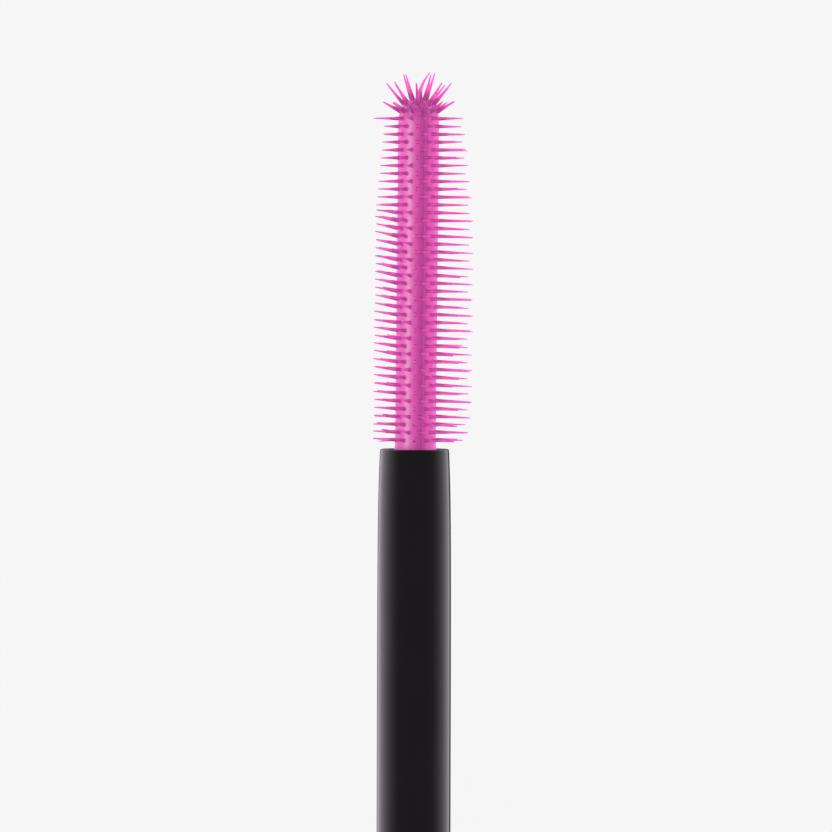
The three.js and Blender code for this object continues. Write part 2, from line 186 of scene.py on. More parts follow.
class Graph:
    """Builds one node tree."""

    def __init__(self, tree: bpy.types.NodeTree) -> None:
        """Start on an emptied tree."""
        self.tree = tree
        tree.nodes.clear()

    def node(
        self,
        kind: str,
        settings: dict[str, object] | None = None,
        inputs: dict[str | int, object] | None = None,
    ) -> bpy.types.Node:
        """Add any node.

        Args:
            kind: The node's type name.
            settings: Attributes set before its sockets; "stops" fills a colour ramp.
            inputs: Values, terms or sockets by socket name or number.

        Returns:
            The new node.
        """
        node = self.tree.nodes.new(kind)
        for name, value in (settings or {}).items():
            if name == "stops":
                self._fill_ramp(node.color_ramp, value)
            else:
                setattr(node, name, value)
        for key, value in (inputs or {}).items():
            self.plug(node.inputs[key], value)
        return node

    def plug(self, socket: Socket, value: object) -> None:
        """Link a term or socket to an input, or set its value.

        Args:
            socket: The input.
            value: A term, a socket, or a plain value.
        """
        if isinstance(value, Term):
            self.tree.links.new(value.socket, socket)
        elif isinstance(value, Socket):
            self.tree.links.new(value, socket)
        else:
            socket.default_value = value

    @staticmethod
    def _fill_ramp(ramp: bpy.types.ColorRamp, stops: Sequence[tuple[float, Sequence[float]]]) -> None:
        """Set a colour ramp's stops.

        Args:
            ramp: The ramp.
            stops: Pairs of place and colour.
        """
        while len(ramp.elements) < len(stops):
            ramp.elements.new(1.0)
        for element, (place, colour) in zip(ramp.elements, stops):
            element.position = place
            element.color = (*colour, 1.0)

    def place(self) -> tuple[Term, Term, Term]:
        """Read the object's own coordinates.

        Returns:
            X, Y and Z in millimetres, with the tube's axis at the origin.
        """
        coordinate = self.node("ShaderNodeTexCoord").outputs["Object"]
        split = self.node("ShaderNodeSeparateXYZ", None, {0: coordinate})
        x, y, z = (Term(self, socket) for socket in split.outputs)
        return x / MM, y / MM, z / MM - AXIS_HEIGHT

    def noise(self, scale: float, detail: float = 3.0, stretch: Sequence[float] = (1, 1, 1)) -> Term:
        """Noise over the surface.

        Args:
            scale: Blotches for each millimetre.
            detail: Octaves.
            stretch: Scale along X, Y and Z.

        Returns:
            A value around 0.5.
        """
        coordinate = self.node("ShaderNodeTexCoord").outputs["Object"]
        factors = tuple(scale / MM * s for s in stretch)
        mapping = self.node("ShaderNodeMapping", None, {0: coordinate, 3: factors})
        values = {"Vector": mapping.outputs[0], "Scale": 1.0, "Detail": detail}
        return Term(self, self.node("ShaderNodeTexNoise", None, values).outputs[0])

    def mix(self, factor: Term | float, first: object, second: object) -> Socket:
        """Blend two colours.

        Args:
            factor: 0 for the first colour, 1 for the second.
            first: Colour value or socket.
            second: Colour value or socket.

        Returns:
            The blended colour.
        """
        settings = {"data_type": "RGBA"}
        node = self.node("ShaderNodeMix", settings, {0: factor, 6: first, 7: second})
        return node.outputs[2]

    def bump(self, height: Term, depth: float, strength: float = 1.0) -> Socket:
        """A bumped normal from a height and its depth in millimetres."""
        values = {"Height": height, "Distance": depth * MM, "Strength": strength}
        return self.node("ShaderNodeBump", None, values).outputs[0]

    def surface(self, shader: Socket) -> None:
        """Send a shader to the output."""
        output = self.node("ShaderNodeOutputMaterial")
        self.tree.links.new(shader, output.inputs["Surface"])


def rgba(colour: Sequence[float]) -> tuple[float, float, float, float]:
    """A colour with full alpha."""
    return (colour[0], colour[1], colour[2], 1.0)


# ---- finishes


@dataclass(frozen=True)
class Finish:
    """A named finish that makes one material."""

    name: str

    def make(self) -> bpy.types.Material:
        """Build the material on one Principled shader.

        Returns:
            The new material.
        """
        material = bpy.data.materials.new(self.name)
        material.use_nodes = True
        graph = Graph(material.node_tree)
        shader = graph.node("ShaderNodeBsdfPrincipled", None, self.sockets(graph))
        graph.surface(shader.outputs[0])
        return material

    def sockets(self, graph: Graph) -> dict[str, object]:
        """Give the shader's sockets, in each kind of finish."""
        raise NotImplementedError


@dataclass(frozen=True)
class MouldedPlastic(Finish):
    """Moulded plastic: faint flow marks, handling haze and an orange-peel skin."""

    colour: Colour = (0.009, 0.0082, 0.0094)
    haze: Colour = (0.014, 0.013, 0.0145)
    roughness: float = 0.1
    roughness_spread: float = 0.035
    peel: float = 0.0006
    ior: float = 1.55

    def sockets(self, graph: Graph) -> dict[str, object]:
        """Plastic with hazy patches and fine streaks.

        Args:
            graph: The material's node tree.

        Returns:
            Values and links of the shader's sockets.
        """
        patches = graph.noise(0.22, 4.0).fade(0.42, 0.72)
        streaks = graph.noise(3.0, 2.0, (1.0, 0.05, 1.0)).fade(0.55, 0.8)
        skin = graph.noise(5.0, 2.0)
        return {
            "Base Color": graph.mix(patches, rgba(self.colour), rgba(self.haze)),
            "Roughness": self.roughness + self.roughness_spread * (0.6 * patches + 0.4 * streaks),
            "IOR": self.ior,
            "Normal": graph.bump(skin, self.peel),
        }


@dataclass(frozen=True)
class Elastomer(Finish):
    """Translucent moulded elastomer: satin skin and mould line, with painted shade at the roots, beside
    the seam, on the core's right side, over the dome and on the upper bristles, and painted light at the
    tips.
    """

    body: Colour = (0.64, 0.082, 0.40)
    # The darker colour serves the random mottle and all the painted shade below.
    deep_tone_and_shade: Colour = (0.31, 0.036, 0.215)
    # The tip colour is painted light: lighter, for light shining through the thin bristle ends.
    tip: Colour = (0.76, 0.125, 0.475)
    roughness: float = 0.42
    tip_radius: float = 2.5
    seam_angle: float = 0.27
    seam_width: float = 0.045
    seam_shade_width: float = 0.34
    dome_place: float = 5.2
    core_length: float = 24.15
    seat_offset: float = 0.06
    sway: float = 0.18
    skin_radii: tuple[float, float] = (1.52, 1.6)
    hair_radii: tuple[float, float] = (1.52, 1.65)
    root_shade_radii: tuple[float, float] = (1.5, 1.62)
    root_shade_end: float = 1.75
    lit_tip_start: float = 1.9
    dome_shade_radii: tuple[float, float] = (2.1, 3.5)
    upper_shade_heights: tuple[float, float] = (1.35, 2.1)
    mottle_depth: float = 0.18
    line_depth: float = 0.3
    seam_shade_depth: float = 0.52
    flank_shade_depth: float = 0.2
    root_shade_depth: float = 0.8
    dome_shade_depth: float = 0.26
    upper_hair_shade_depth: float = 0.7

    def sockets(self, graph: Graph) -> dict[str, object]:
        """Elastomer with light scattered under its skin.

        Args:
            graph: The material's node tree.

        Returns:
            Values and links of the shader's sockets.
        """
        across, along, height = graph.place()
        up_the_core = (1 + (along - self.dome_place) * (1 / self.core_length)).clamped()
        across = across - self.seat_offset - self.sway * up_the_core
        radius = (across * across + height * height) ** 0.5
        beyond = (along - self.dome_place).at_least(0.0)
        reach = (radius * radius + beyond * beyond) ** 0.5
        # Painted light: the bristles are painted lighter towards their tips, for light shining through
        # the thin ends.
        outward = reach.fade(self.lit_tip_start, self.tip_radius)
        # Painted shade: the bristles' feet and lower shafts are painted darker, for the shade where each
        # bristle meets the core.
        root = reach.fade(*self.root_shade_radii) * (1 - reach.fade(self.root_shade_end, self.tip_radius))
        # Painted shade: the dome and the feet of its spikes are painted darker, for the shade between
        # the spikes.
        dome_shade_mask = beyond.fade(-0.1, 0.5) * (1 - reach.fade(*self.dome_shade_radii))
        # Painted shade: the bristles on the top side of the core are painted darker, for the side turned
        # away from the light.
        upper_hair_shade = reach.fade(*self.hair_radii) * height.fade(*self.upper_shade_heights)
        mottle = graph.noise(1.3, 3.0).fade(0.35, 0.7)
        beside_seam = (across.angle_to(height) - self.seam_angle).sine()
        off_seam = abs(beside_seam)
        on_core = 1 - reach.fade(*self.skin_radii)
        line = on_core * (1 - off_seam.fade(self.seam_width * 0.4, self.seam_width))
        # Painted shade: a band either side of the seam is painted darker, standing in for a band of
        # shade down the core.
        strip = on_core * (1 - off_seam.fade(0.35 * self.seam_shade_width, self.seam_shade_width))
        # Painted shade: the core's right side, beyond the seam, is painted a little darker.
        flank_shade = on_core * beside_seam.fade(0.3, 0.65)
        tone = graph.mix(outward, rgba(self.body), rgba(self.tip))
        tone = graph.mix(self.mottle_depth * mottle, tone, rgba(self.deep_tone_and_shade))
        # The mould line is a dark line along the seam; the band and the right side are painted shade.
        seam_line_and_shade = self.line_depth * line + self.seam_shade_depth * strip + self.flank_shade_depth * flank_shade
        root_shade = self.root_shade_depth * root
        dome_shade = self.dome_shade_depth * dome_shade_mask
        # Painted shade: the masks summed here, all but the mould line, are painted shade that darkens
        # the tone.
        depth = seam_line_and_shade + root_shade + dome_shade + self.upper_hair_shade_depth * upper_hair_shade
        tone = graph.mix(depth.clamped(), tone, rgba(self.deep_tone_and_shade))
        relief = graph.noise(9.0, 3.0) * 0.35 + line * 0.25
        return {
            "Base Color": tone,
            "Roughness": self.roughness + 0.28 * reach.fade(1.52, 1.7) + 0.1 * graph.noise(2.1, 2.0),
            "IOR": 1.6,
            "Subsurface Weight": 0.6,
            "Subsurface Radius": (1.0, 0.3, 0.7),
            "Subsurface Scale": 0.6 * MM,
            "Normal": graph.bump(relief, 0.012),
        }


@dataclass(frozen=True)
class TurnedMetal(Finish):
    """Metal with fine lathe lines round the axis."""

    colour: Colour = (0.72, 0.12, 0.38)
    shade: Colour = (0.6, 0.08, 0.3)
    roughness: float = 0.22
    lines: float = 4.5

    def sockets(self, graph: Graph) -> dict[str, object]:
        """Metal with turned lines and soft blotches.

        Args:
            graph: The material's node tree.

        Returns:
            Values and links of the shader's sockets.
        """
        across, along, height = graph.place()
        radius = (across * across + height * height) ** 0.5
        turning = ((radius + along) * (self.lines * 2 * math.pi)).sine()
        blotch = graph.noise(0.35, 3.0).fade(0.35, 0.7)
        return {
            "Base Color": graph.mix(0.5 * blotch, rgba(self.colour), rgba(self.shade)),
            "Metallic": 1.0,
            "Roughness": self.roughness + 0.06 * turning + 0.06 * blotch,
            "Normal": graph.bump(turning, 0.002),
        }


@dataclass(frozen=True)
class SoftFoam(Finish):
    """Fine closed-cell foam for the seal."""

    colour: Colour = (0.5, 0.48, 0.46)
    shade: Colour = (0.38, 0.36, 0.35)

    def sockets(self, graph: Graph) -> dict[str, object]:
        """Matt foam with tiny cells.

        Args:
            graph: The material's node tree.

        Returns:
            Values and links of the shader's sockets.
        """
        cells = graph.noise(6.0, 4.0)
        return {
            "Base Color": graph.mix(cells.fade(0.4, 0.65), rgba(self.colour), rgba(self.shade)),
            "Roughness": 0.75 + 0.1 * cells,
            "Normal": graph.bump(cells, 0.05),
        }


@dataclass(frozen=True)
class LabelFilm(Finish):
    """Blank printed film: a white field inside a thin pink border, and no lettering."""

    field: Colour = (0.82, 0.8, 0.78)
    fleck: Colour = (0.6, 0.58, 0.56)
    border: Colour = (0.72, 0.12, 0.38)
    border_radius: float = 4.7

    def sockets(self, graph: Graph) -> dict[str, object]:
        """Satin film with paper grain and a printed ring.

        Args:
            graph: The material's node tree.

        Returns:
            Values and links of the shader's sockets.
        """
        across, _, height = graph.place()
        radius = (across * across + height * height) ** 0.5
        ring = radius.fade(self.border_radius - 0.02, self.border_radius + 0.02)
        grain = graph.noise(4.0, 4.0)
        field_tone = graph.mix(0.15 * grain, rgba(self.field), rgba(self.fleck))
        return {
            "Base Color": graph.mix(ring, field_tone, rgba(self.border)),
            "Roughness": 0.4 + 0.15 * grain,
            "Normal": graph.bump(grain, 0.004),
        }


FINISHES: dict[Slot, Finish] = {
    Slot.GLOSS_BLACK: MouldedPlastic("gloss_black"),
    Slot.SATIN_BLACK: MouldedPlastic(
        "satin_black", (0.02, 0.02, 0.021), (0.032, 0.031, 0.033), 0.34, 0.12, 0.004),
    Slot.PINK_ELASTOMER: Elastomer("pink_elastomer"),
    Slot.PINK_METAL: TurnedMetal("pink_metal"),
    Slot.PALE_PLASTIC: MouldedPlastic(
        "pale_plastic", (0.7, 0.66, 0.64), (0.58, 0.54, 0.52), 0.32, 0.1, 0.003),
    Slot.SEAL_FOAM: SoftFoam("seal_foam"),
    Slot.STEEL: TurnedMetal("steel", (0.42, 0.42, 0.43), (0.34, 0.34, 0.35), 0.3, 9.0),
    Slot.LABEL: LabelFilm("label"),
}


class Wardrobe:
    """Makes each finish once and hands it to the pieces that wear it."""

    def __init__(self) -> None:
        """Start with no material made."""
        self.made: dict[Slot, bpy.types.Material] = {}

    def dress(self, piece: Piece, slot: Slot) -> None:
        """Give a piece its finish.

        Args:
            piece: The object to dress.
            slot: The record's slot that the finish belongs to.
        """
        if slot not in self.made:
            self.made[slot] = FINISHES[slot].make()
        piece.data.materials.clear()
        piece.data.materials.append(self.made[slot])


# ---- meshes


def arc(centre: Point, radius: float, start: float, end: float, steps: int = 6) -> list[Point]:
    """Points of a round stretch in a profile.

    Args:
        centre: Centre as radius and place along the axis.
        radius: Radius of the round.
        start: First angle in degrees, 0 pointing outward and 90 along +Y.
        end: Last angle in degrees.
        steps: Number of stretches.

    Returns:
        The points, ends included.
    """
    turns = [math.radians(start + (end - start) * i / steps) for i in range(steps + 1)]
    return [(centre[0] + radius * math.cos(t), centre[1] + radius * math.sin(t)) for t in turns]


class MeshShop:
    """Turns, sweeps and finishes meshes along the tube's axis."""

    @staticmethod
    def around(radius: float, angle: float, along: float) -> Vector:
        """The point at a radius and angle from +Z towards +X, in metres."""
        return Vector((radius * math.sin(angle), along, AXIS_HEIGHT + radius * math.cos(angle))) * MM

    @staticmethod
    def turn(mesh: Mesh, profile: Sequence[Point], steps: int = ROUND_STEPS) -> None:
        """Turn a closed profile about the axis into a mesh.

        Args:
            mesh: The mesh to add to.
            profile: Radius and place along Y, closed on itself or by the axis.
            steps: Facets round the axis.
        """
        rows = []
        for radius, along in profile:
            if radius < 1e-6:
                rows.append([mesh.verts.new(MeshShop.around(0, 0, along))])
                continue
            angles = [2 * math.pi * i / steps for i in range(steps)]
            rows.append([mesh.verts.new(MeshShop.around(radius, a, along)) for a in angles])
        for here, after in zip(rows, rows[1:] + rows[:1]):
            MeshShop.bridge(mesh, here, after)

    @staticmethod
    def bridge(mesh: Mesh, here: list, after: list) -> None:
        """Fill between two closed rows of points.

        Args:
            mesh: The mesh to add to.
            here: First row, or one point.
            after: Second row, or one point.
        """
        count = max(len(here), len(after))
        if count == 1:
            return
        for i in range(count):
            j = (i + 1) % count
            near = [here[i % len(here)], here[j % len(here)]]
            far = [after[j % len(after)], after[i % len(after)]]
            mesh.faces.new(dict.fromkeys(near + far))

    @staticmethod
    def finish(name: str, mesh: Mesh, crease: float = 32.0) -> Piece:
        """Turn a built mesh into a smooth-shaded object.

        Args:
            name: The piece's name.
            mesh: The mesh, which is used up.
            crease: Edges sharper than this many degrees stay sharp.

        Returns:
            The new object.
        """
        bmesh.ops.recalc_face_normals(mesh, faces=mesh.faces)
        limit = math.radians(crease)
        for edge in mesh.edges:
            edge.smooth = len(edge.link_faces) == 2 and edge.calc_face_angle(0.0) < limit
        data = bpy.data.meshes.new(name)
        mesh.to_mesh(data)
        mesh.free()
        for polygon in data.polygons:
            polygon.use_smooth = True
        piece = bpy.data.objects.new(name, data)
        bpy.context.scene.collection.objects.link(piece)
        return piece


@dataclass(frozen=True)
class ScrewRidge:
    """A screw ridge wound along a wall, with ends that rise and sink softly.

    Its crest lies inside the wall for an inside thread.
    """

    wall: float
    crest: float
    start: float
    sunk: float = 0.12
    run_out: float = 0.35
    end_height: float = 0.08
    steps_a_turn: int = 72
    half_foot: float = 0.29 * THREAD_PITCH
    half_crest: float = 0.12 * THREAD_PITCH

    def sweep(self, mesh: Mesh) -> None:
        """Add the ridge to a mesh.

        Args:
            mesh: The mesh to add to.
        """
        steps = int(THREAD_TURNS * self.steps_a_turn)
        rows = [self.section(mesh, step / steps) for step in range(steps + 1)]
        for here, after in zip(rows, rows[1:]):
            MeshShop.bridge(mesh, here, after)
        mesh.faces.new(rows[0])
        mesh.faces.new(rows[-1])

    def section(self, mesh: Mesh, share: float) -> list[Vertex]:
        """One cross section of the ridge.

        Args:
            mesh: The mesh to add to.
            share: Share of the ridge's length.

        Returns:
            The section's vertices, from foot to foot.
        """
        from_start = share * THREAD_TURNS / self.run_out
        from_end = min(1.0, from_start, (1 - share) * THREAD_TURNS / self.run_out)
        ease = from_end * from_end * (3 - 2 * from_end)
        foot = self.wall - math.copysign(self.sunk, self.crest - self.wall)
        top = foot + (self.crest - foot) * (self.end_height + (1 - self.end_height) * ease)
        knee = foot + (top - foot) * 0.86
        angle = share * THREAD_TURNS * 2 * math.pi
        along = self.start + share * THREAD_TURNS * THREAD_PITCH
        shoulder, crest = self.half_crest * 1.35, self.half_crest * 0.7
        outline = [
            (foot, -self.half_foot), (knee, -shoulder), (top, -crest),
            (top, crest), (knee, shoulder), (foot, self.half_foot),
        ]
        return [mesh.verts.new(MeshShop.around(r, angle, along + a)) for r, a in outline]


@dataclass
class Assembly:
    """Shared ways of a sub-assembly: adding a finished piece in place of a CAD node."""

    body: ClassVar[Body] = Body.APPLICATOR
    wardrobe: Wardrobe
    pieces: list[Piece] = field(default_factory=list, init=False)

    def add(self, piece: Piece, node: str, slot: Slot, body: Body | None = None) -> None:
        """Dress a piece, let it ride, and let it stand for its CAD node.

        Args:
            piece: The finished object.
            node: The CAD node that it replaces.
            slot: The finish that it wears.
            body: The body that it moves with, if not the sub-assembly's own.
        """
        self.wardrobe.dress(piece, slot)
        carrier = (body or self.body).value
        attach(piece, carrier)
        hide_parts(node)
        self.pieces.append(piece)
        LOG.info("%s: %d faces, rides on %s", piece.name, len(piece.data.polygons), carrier)

    def turned(
        self,
        name: str,
        node: str,
        slot: Slot,
        outline: Sequence[Point],
        steps: int = ROUND_STEPS,
        body: Body | None = None,
        ridge: ScrewRidge | None = None,
    ) -> None:
        """Add a piece turned from one closed outline.

        Args:
            name: The piece's name.
            node: The CAD node that it replaces.
            slot: The finish that it wears.
            outline: Radius and place along Y.
            steps: Facets round the axis.
            body: The body that it moves with, if not the sub-assembly's own.
            ridge: The thread on it, if it has one.
        """
        mesh = bmesh.new()
        MeshShop.turn(mesh, outline, steps)
        if ridge:
            ridge.sweep(mesh)
        self.add(MeshShop.finish(name, mesh), node, slot, body)

    @staticmethod
    def span(node: str) -> tuple[float, float]:
        """The first and last place of a CAD node along Y, in millimetres."""
        low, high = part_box(node)
        return low.y / MM, high.y / MM


# ---- the brush


@dataclass(frozen=True)
class Hair:
    """One bristle or spike, growing out of the core's skin."""

    root: Vector
    out: Vector
    side: Vector
    length: float
    base: float
    tip: float
    bend: Vector

    def centre(self, share: float) -> Vector:
        """Centre line at a share of the length, in millimetres."""
        along = share * self.length
        return self.root + self.out * along + self.bend * (share ** 2 * self.length)

    def radius(self, share: float) -> float:
        """Half thickness at a share of the length."""
        return self.base + (self.tip - self.base) * share ** 0.9

    def up(self) -> Vector:
        """The cross direction that is square to the side."""
        return self.out.cross(self.side).normalized()

    def turns(self, edge: Sequence[Vertex]) -> list[float]:
        """Angle round the hair of each vertex of a closed edge."""
        offsets = [vertex.co / MM - self.root for vertex in edge]
        return [math.atan2(o.dot(self.up()), o.dot(self.side)) for o in offsets]

    def shaft(self, rise: float, steps: int) -> list[Point]:
        """Share of the length, and radius, of each ring above the foot.

        Args:
            rise: Height of the foot.
            steps: Number of rings.

        Returns:
            A pair for each ring.
        """
        foot = rise / self.length
        shares = [foot + (1 - foot) * step / steps for step in range(1, steps + 1)]
        return [(share, self.radius(share)) for share in shares]


@dataclass
class Brush(Assembly):
    """The soft sleeve: a core with a domed tip, and every hair grown from a patch of its skin."""

    core: float = 1.5
    bore: float = 0.85
    socket: float = 1.57
    flare: float = 0.05
    places: int = 24
    rings: int = 42
    pitch: float = 0.5757
    first_ring: float = 0.68
    dome_centre: float = 24.15
    turn_offset: float = math.radians(-3.5)
    left_reach: float = 3.12
    right_reach: float = 4.0
    right_alternation: float = 0.2
    stagger_rings: tuple[int, int] = (13, 29)
    last_left_extra: float = 0.28
    first_right_cut: float = 0.09
    tip_share: float = 0.80
    tip_rings: int = 12
    hair_base: float = 0.138
    hair_tip: float = 0.034
    stout_tip: float = 1.25
    foot: float = 0.165
    collar: float = 0.035
    foot_slope: float = 1.6
    dome_edges: tuple[float, ...] = (0, 0.27, 0.58, 0.87)
    dome_rows: tuple[tuple[float, int, int], ...] = ((2.98, 0, 4), (3.56, -3, 6), (3.56, -2, 8))
    spike_base: float = 0.185
    spike_tip: float = 0.045
    spike_foot: float = 0.23
    front_share: float = 0.76
    crown_length: float = 2.08
    crown_base: float = 0.2
    crown_foot: float = 0.22
    lean_left: float = math.radians(5.5)
    upper_lean: float = 1.1
    upper_rings: tuple[int, int] = (15, 20)
    lean_right: float = math.radians(-1.6)
    lean_scatter: float = 0.7
    curl: float = 0.35
    fray: float = math.radians(6.0)
    frayed_rings: int = 9
    seat_offset: float = 0.06
    sway: float = 0.18
    pin_radius: float = 0.74
    pin_barbs: int = 4
    seed: int = 11

    def build(self) -> None:
        """Grow the sleeve and put it on the stem."""
        self.stem_end = self.span("stem")[1]
        self.luck = random.Random(self.seed)
        self.mesh = bmesh.new()
        self.skin: dict[tuple[int, int], Vertex] = {}
        self.ring_patches()
        self.dome_patches()
        self.root_wall()
        piece = MeshShop.finish("brush_sleeve", self.mesh, 75.0)
        self.add(piece, "brush", Slot.PINK_ELASTOMER)
        self.carrier_pin()

    # ---- the skin's own coordinates: an angle, and a distance up the core's outline

    def station(self, distance: float) -> tuple[float, float, float]:
        """Find a place on the core's outline.

        Args:
            distance: How far up the outline from the stem's end.

        Returns:
            Radius, height, and slope angle.
        """
        if distance <= self.dome_centre:
            return self.core, distance, 0.0
        slope = min(math.pi / 2, (distance - self.dome_centre) / self.core)
        return self.core * math.cos(slope), self.dome_centre + self.core * math.sin(slope), slope

    def skin_point(self, angle: float, distance: float) -> Vector:
        """Find a point of the skin.

        Args:
            angle: Angle round the core.
            distance: Distance up the outline.

        Returns:
            The point in millimetres.
        """
        radius, height, _ = self.station(distance)
        place = self.stem_end + height
        swayed = self.seat_offset + self.sway * height / self.dome_centre
        across = radius * math.sin(angle) + swayed
        return Vector((across, place, AXIS_HEIGHT + radius * math.cos(angle)))

    def skin_vertex(self, half_place: int, key: int, distance: float) -> Vertex:
        """Find or make a vertex that neighbouring patches share.

        Args:
            half_place: Its place round the core, in half places.
            key: Number of its row, in quarter rows.
            distance: Distance up the outline.

        Returns:
            The vertex.
        """
        half_place %= 2 * self.places
        known = self.skin.get((half_place, key))
        if known is None:
            angle = self.angle_of(half_place / 2)
            known = self.mesh.verts.new(self.skin_point(angle, distance) * MM)
            self.skin[(half_place, key)] = known
        return known

    def angle_of(self, place: float) -> float:
        """Angle of a place round the core."""
        return self.turn_offset + place * 2 * math.pi / self.places

    def patch_edge(self, first: int, width: int, row: int, low: float, high: float) -> list[Vertex]:
        """The vertices round a patch of the skin.

        Args:
            first: Its left edge, in half places.
            width: Its width, in half places.
            row: Number of its row; rows share their edges.
            low: Distance of its lower edge.
            high: Distance of its upper edge.

        Returns:
            The vertices in order, starting at the lower left corner.
        """
        halves = range(first, first + width + 1)
        lower = [self.skin_vertex(h, 4 * row, low) for h in halves]
        upper = [self.skin_vertex(h, 4 * row + 4, high) for h in halves]
        middle = (low + high) / 2
        right = self.skin_vertex(first + width, 4 * row + 2, middle)
        left = self.skin_vertex(first, 4 * row + 2, middle)
        return [*lower, right, *reversed(upper), left]

    def bare_patch(self, edge: list[Vertex], place: int, middle: float) -> None:
        """A patch with nothing growing on it.

        Args:
            edge: The vertices round it.
            place: The place in its middle.
            middle: Distance of its middle.
        """
        centre = self.mesh.verts.new(self.skin_point(self.angle_of(place), middle) * MM)
        for corner in range(0, len(edge), 2):
            self.mesh.faces.new([edge[corner - 1], edge[corner], edge[corner + 1], centre])

    def hair_patch(self, edge: list[Vertex], place: int, middle: float, hair: Hair) -> None:
        """A patch whose middle rises into one bristle, with a flat collar and a rounded foot.

        Args:
            edge: The vertices round it.
            place: The place in its middle.
            middle: Distance of its middle.
            hair: The bristle to grow.
        """
        angle, turns = self.angle_of(place), hair.turns(edge)
        loop = edge
        for spread in (self.foot + self.collar, self.foot):
            flat = []
            for turn in turns:
                round_angle = angle + spread * math.cos(turn) / self.core
                spot = self.skin_point(round_angle, middle + spread * math.sin(turn))
                flat.append(self.mesh.verts.new(spot * MM))
            MeshShop.bridge(self.mesh, loop, flat)
            loop = flat
        flesh = self.foot - hair.base
        rise = flesh * self.foot_slope
        foot = [(0.28 * rise / hair.length, hair.base + 0.42 * flesh), (rise / hair.length, hair.base)]
        tip = (1 + 0.5 * hair.tip / hair.length, hair.tip * 0.7)
        self.grow(hair, turns, loop, [*foot, *hair.shaft(rise, 6), tip])

    def spike_patch(self, edge: list[Vertex], hair: Hair, foot: float) -> None:
        """Grow a spike of the dome.

        Args:
            edge: The vertices that it starts from.
            hair: The spike.
            foot: Radius of its foot.
        """
        rise = (foot - hair.base) * self.foot_slope
        knee = (0.3 * rise / hair.length, hair.base * 1.1)
        rings = [(-0.01, foot), knee, (rise / hair.length, hair.base), *hair.shaft(rise, 7)]
        self.grow(hair, hair.turns(edge), edge, rings)

    def grow(
        self,
        hair: Hair,
        turns: list[float],
        loop: list[Vertex],
        rings: Sequence[Point],
    ) -> None:
        """Grow a hair ring by ring, and close its tip.

        Args:
            hair: The hair.
            turns: Angle round the hair of each vertex of a ring.
            loop: The vertices that it starts from.
            rings: Share of the length, and radius, of each ring.
        """
        for share, radius in rings:
            centre = hair.centre(share)
            spokes = [hair.side * math.cos(turn) + hair.up() * math.sin(turn) for turn in turns]
            ring = [self.mesh.verts.new((centre + spoke * radius) * MM) for spoke in spokes]
            MeshShop.bridge(self.mesh, loop, ring)
            loop = ring
        tip = self.mesh.verts.new(hair.centre(1 + 0.8 * hair.tip / hair.length) * MM)
        MeshShop.bridge(self.mesh, loop, [tip])

    # ---- rings of bristles

    def reach(self, ring: int, angle: float) -> float:
        """Distance from the core's axis to a bristle's tip.

        Args:
            ring: Ring number from the stem.
            angle: Angle of the bristle.

        Returns:
            The reach in millimetres.
        """
        share = (1 + math.sin(angle)) / 2
        full = self.left_reach + (self.right_reach - self.left_reach) * share
        alternation = self.right_alternation if self.steps_right(ring) else -self.right_alternation
        full += alternation * max(0.0, math.sin(angle))
        from_tip = min(1.0, (self.rings - 1 - ring) / self.tip_rings)
        shortened = self.tip_share + (1 - self.tip_share) * from_tip
        if ring == self.rings - 1 and math.sin(angle) < -0.9:
            shortened += self.last_left_extra
        foot_share = 1 - self.first_right_cut * max(0.0, 1 - ring / 3)
        return full * shortened * (foot_share if math.sin(angle) > 0 else 1.0)

    def steps_right(self, ring: int) -> bool:
        """Whether the right half of a ring has its bristles on the odd places."""
        first, last = self.stagger_rings
        return (ring % 2 == 1) != (first <= ring <= last)

    def grows(self, ring: int, place: int) -> bool:
        """Whether a bristle stands at a place; for some rings the right half is out of step.

        Args:
            ring: Ring number from the stem.
            place: Place round the core.

        Returns:
            True where a bristle grows.
        """
        if 1 <= place <= self.places // 2 - 1:
            return (place % 2 == 1) == self.steps_right(ring)
        return (place + ring) % 2 == 0

    def lean(self, ring: int, angle: float) -> float:
        """How far a bristle leans along the axis.

        Args:
            ring: Ring number from the stem.
            angle: Angle of the bristle round the core.

        Returns:
            The angle towards the tip, in radians.
        """
        side = math.sin(angle)
        below_tip_rings = max(0.0, self.rings - self.tip_rings - ring)
        scatter = math.radians(self.luck.gauss(0, self.lean_scatter))
        if side >= 0:
            return self.lean_right * side * min(1.0, below_tip_rings / 3) + scatter
        fray = self.fray * max(0.0, 1 - ring / self.frayed_rings) * (math.cos(angle) - 0.25)
        risen = 0.35 + 0.65 * min(1.0, ring / self.frayed_rings)
        risen += self.upper_lean * self.upper_share(ring)
        return (self.lean_left * -side * risen + fray) * min(1.0, below_tip_rings / 1.5) + scatter

    def upper_share(self, ring: int) -> float:
        """How far a ring has come, from 0 to 1, into the rings whose left bristles lean more."""
        first, last = self.upper_rings
        return min(1.0, max(0.0, (ring - first) / (last - first)))

    def ring_patches(self) -> None:
        """All rings of bristles, every other place of each ring, staggered ring by ring."""
        for ring in range(self.rings):
            distance = self.first_ring + ring * self.pitch
            low, high = distance - self.pitch / 2, distance + self.pitch / 2
            middle = (low + high) / 2
            for place in range(self.places):
                hair = self.bristle(ring, place, distance) if self.grows(ring, place) else None
                edge = self.patch_edge(2 * place - 1, 2, ring, low, high)
                if hair is None:
                    self.bare_patch(edge, place, middle)
                else:
                    self.hair_patch(edge, place, middle, hair)

